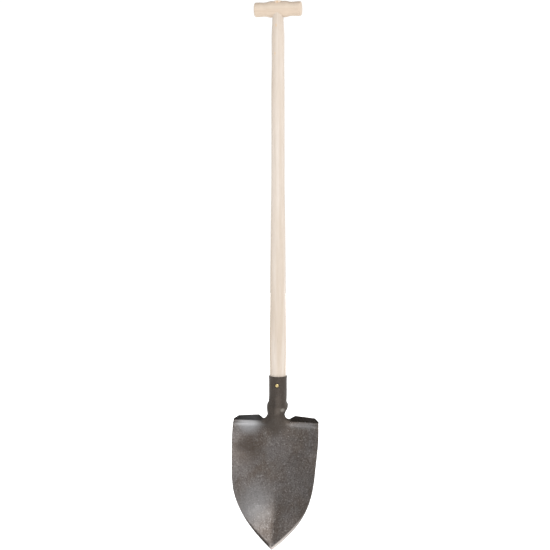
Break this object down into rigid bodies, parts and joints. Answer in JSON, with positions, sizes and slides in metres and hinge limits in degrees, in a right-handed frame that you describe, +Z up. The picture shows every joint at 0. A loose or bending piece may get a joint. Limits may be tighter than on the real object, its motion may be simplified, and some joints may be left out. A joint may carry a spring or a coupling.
{
  "type": "pointed digging shovel",
  "caption": "Long-handled pointed digging shovel for detecting, with a pressed steel blade, folded foot treads and an ash T-grip.",
  "frame": {"origin": "on the ground under the middle of the object's width and depth, level with the point of the blade; the shaft's axis stands 23.5 mm behind it", "axes": "+Z up along the shaft from the point to the grip, +X along the T-grip and across the blade, -Y towards the blade's hollow front"},
  "size_m": [0.204, 0.0886, 1.25],
  "materials": {
    "steel": "satin",
    "ash": "satin",
    "wedge_wood": "matte",
    "brass": "satin"
  },
  "bodies": {
    "root": {"blade_head": "steel", "shaft": "ash", "t_grip": "ash", "tenon_wedge": "wedge_wood", "socket_screw": "brass"}
  },
  "joints": []
}
